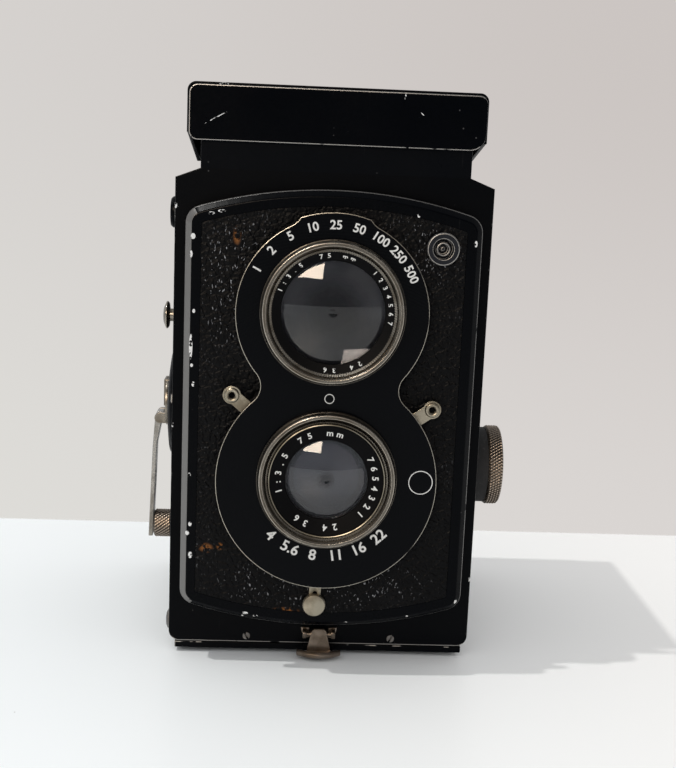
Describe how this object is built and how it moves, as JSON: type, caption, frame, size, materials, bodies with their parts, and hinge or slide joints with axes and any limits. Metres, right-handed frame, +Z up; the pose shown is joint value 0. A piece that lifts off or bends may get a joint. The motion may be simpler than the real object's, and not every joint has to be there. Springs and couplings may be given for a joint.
{
  "type": "twin lens reflex camera",
  "caption": "Box-shaped roll-film camera with a viewing lens over a taking lens: a side knob slides the front panel to focus, a folding crank winds on, a hood opens on top.",
  "frame": {"origin": "centre of the tripod bush's mouth, level with the feet", "axes": "+Z up, +X to the right seen from the front, +Y from the lenses towards the back"},
  "size_m": [0.0995, 0.0896, 0.1484],
  "materials": {
    "body_paint": "worn satin black enamel",
    "gloss_black": "gloss black enamel",
    "leather": "fine pebbled black leatherette",
    "nickel": "dulled nickel plate",
    "knurled_brass": "tarnished, knurled",
    "brass": "turned",
    "steel": "plain",
    "inside_black": "flat black",
    "glass": "clear",
    "ground_glass": "ground",
    "mirror": "silvered on the front",
    "dial": "printed disc"
  },
  "bodies": {
    "camera_body": {"body_shell": "body_paint", "top_plate": "body_paint", "side_plates": "inside_black", "side_leathers": "leather", "film_gate": "inside_black", "mirror_frame": "inside_black", "reflex_mirror": "mirror", "focusing_screen": "ground_glass", "hood_base": "body_paint", "nameplate": "gloss_black", "bushes": "brass", "crank_boss": "gloss_black", "counter_window": "gloss_black", "latch_bracket": "nickel", "body_screws": "nickel"},
    "lens_board": {"lens_panel": "gloss_black", "panel_leather": "leather", "face_plate": "gloss_black", "view_barrel": "nickel", "view_ring": "inside_black", "view_glass": "glass", "shutter_case": "inside_black", "take_barrel": "nickel", "take_ring": "inside_black", "take_glass": "glass", "sync_socket": "nickel", "guide_posts": "steel", "focus_follower": "steel"},
    "aperture": {"aperture_lever": "nickel"},
    "speed": {"speed_lever": "nickel"},
    "release": {"release_lever": "nickel"},
    "blade_1": {"shutter_blade_1": "steel"},
    "blade_2": {"shutter_blade_2": "steel"},
    "blade_3": {"shutter_blade_3": "steel"},
    "focus": {"focus_knob": "knurled_brass", "focus_collar": "gloss_black", "focus_cam": "steel"},
    "crank": {"crank_hub": "nickel", "crank_gear": "brass"},
    "arm": {"crank_arm": "nickel"},
    "handle": {"crank_handle": "knurled_brass"},
    "spool": {"take_up_spool": "body_paint", "spool_gear": "brass"},
    "dial": {"counter_dial": "dial"},
    "button": {"counter_button": "nickel"},
    "back": {"back_door": "body_paint", "door_leather": "leather", "pressure_plate": "inside_black", "pressure_springs": "steel", "base_plate": "body_paint", "tripod_bush": "nickel"},
    "latch": {"latch_lever": "nickel"},
    "upper_knob": {"upper_spool_knob": "gloss_black"},
    "lower_knob": {"lower_spool_knob": "gloss_black"},
    "lid": {"hood_lid": "body_paint"},
    "flap_left": {"left_flap": "body_paint"},
    "flap_right": {"right_flap": "body_paint"},
    "flap_rear": {"rear_flap": "body_paint"},
    "magnifier": {"magnifier_frame": "body_paint", "magnifier_lens": "glass"}
  },
  "joints": [
    {"name": "focus_turn", "type": "hinge", "parent": "camera_body", "child": "focus", "pos_m": [0.046, -0.01, 0.047], "axis": [1, 0, 0], "range_deg": [0, 300]},
    {"name": "lens_slide", "type": "slide", "parent": "camera_body", "child": "lens_board", "axis": [0, -1, 0], "range_m": [0, 0.008]},
    {"name": "aperture_turn", "type": "hinge", "parent": "lens_board", "child": "aperture", "pos_m": [0, -0.0455, 0.0515], "axis": [0, -1, 0], "range_deg": [0, 32]},
    {"name": "speed_turn", "type": "hinge", "parent": "lens_board", "child": "speed", "pos_m": [0, -0.0446, 0.0515], "axis": [0, 1, 0], "range_deg": [0, 30]},
    {"name": "release_turn", "type": "hinge", "parent": "lens_board", "child": "release", "pos_m": [0, -0.0437, 0.0515], "axis": [0, -1, 0], "range_deg": [0, 25], "stiffness_Nm_per_rad": 0.02},
    {"name": "blade_1_turn", "type": "hinge", "parent": "lens_board", "child": "blade_1", "pos_m": [0, -0.0415, 0.07], "axis": [0, -1, 0], "range_deg": [0, 54]},
    {"name": "blade_2_turn", "type": "hinge", "parent": "lens_board", "child": "blade_2", "pos_m": [-0.01602, -0.0415, 0.04225], "axis": [0, -1, 0], "range_deg": [0, 54]},
    {"name": "blade_3_turn", "type": "hinge", "parent": "lens_board", "child": "blade_3", "pos_m": [0.01602, -0.0415, 0.04225], "axis": [0, -1, 0], "range_deg": [0, 54]},
    {"name": "crank_turn", "type": "hinge", "parent": "camera_body", "child": "crank", "pos_m": [-0.041, 0, 0.0607], "axis": [1, 0, 0], "continuous": true},
    {"name": "crank_fold", "type": "hinge", "parent": "crank", "child": "arm", "pos_m": [-0.0464, 0, 0.0563], "axis": [0, 1, 0], "range_deg": [0, 160]},
    {"name": "handle_spin", "type": "hinge", "parent": "arm", "child": "handle", "pos_m": [-0.045, 0, 0.024], "axis": [1, 0, 0], "continuous": true},
    {"name": "spool_turn", "type": "hinge", "parent": "camera_body", "child": "spool", "pos_m": [0, 0.0185, 0.08923], "axis": [1, 0, 0], "continuous": true},
    {"name": "dial_turn", "type": "hinge", "parent": "camera_body", "child": "dial", "pos_m": [-0.0375, -0.02, 0.1085], "axis": [1, 0, 0], "continuous": true},
    {"name": "button_push", "type": "slide", "parent": "camera_body", "child": "button", "axis": [1, 0, 0], "range_m": [0, 0.0015], "stiffness_N_per_m": 300},
    {"name": "back_swing", "type": "hinge", "parent": "camera_body", "child": "back", "pos_m": [0, 0.0369, 0.123], "axis": [1, 0, 0], "range_deg": [0, 100]},
    {"name": "latch_swing", "type": "hinge", "parent": "camera_body", "child": "latch", "pos_m": [0, -0.039, 0.0064], "axis": [-1, 0, 0], "range_deg": [0, 60]},
    {"name": "upper_knob_pull", "type": "slide", "parent": "camera_body", "child": "upper_knob", "axis": [1, 0, 0], "range_m": [0, 0.0065], "stiffness_N_per_m": 200},
    {"name": "lower_knob_pull", "type": "slide", "parent": "camera_body", "child": "lower_knob", "axis": [1, 0, 0], "range_m": [0, 0.0065], "stiffness_N_per_m": 200},
    {"name": "lid_swing", "type": "hinge", "parent": "camera_body", "child": "lid", "pos_m": [0, -0.0342, 0.1462], "axis": [1, 0, 0], "range_deg": [0, 90]},
    {"name": "flap_left_swing", "type": "hinge", "parent": "camera_body", "child": "flap_left", "pos_m": [-0.0316, 0, 0.1306], "axis": [0, -1, 0], "range_deg": [0, 90]},
    {"name": "flap_right_swing", "type": "hinge", "parent": "camera_body", "child": "flap_right", "pos_m": [0.0316, 0, 0.1306], "axis": [0, 1, 0], "range_deg": [0, 90]},
    {"name": "flap_rear_swing", "type": "hinge", "parent": "camera_body", "child": "flap_rear", "pos_m": [0, 0.0318, 0.1294], "axis": [-1, 0, 0], "range_deg": [0, 90]},
    {"name": "magnifier_swing", "type": "hinge", "parent": "lid", "child": "magnifier", "pos_m": [0, -0.0012, 0.1461], "axis": [1, 0, 0], "range_deg": [-90, 0]}
  ],
  "couplings": [
    {"joint": "focus_turn", "follows": "lens_slide", "rad_per_m": 654.5},
    {"joint": "blade_1_turn", "follows": "release_turn", "ratio": 2.16},
    {"joint": "blade_2_turn", "follows": "release_turn", "ratio": 2.16},
    {"joint": "blade_3_turn", "follows": "release_turn", "ratio": 2.16},
    {"joint": "spool_turn", "follows": "crank_turn", "ratio": -1.4286},
    {"joint": "dial_turn", "follows": "crank_turn", "ratio": 0.083333},
    {"joint": "flap_left_swing", "follows": "lid_swing", "ratio": 1},
    {"joint": "flap_right_swing", "follows": "lid_swing", "ratio": 1},
    {"joint": "flap_rear_swing", "follows": "lid_swing", "ratio": 1},
    {"joint": "magnifier_swing", "follows": "lid_swing", "ratio": -1}
  ]
}
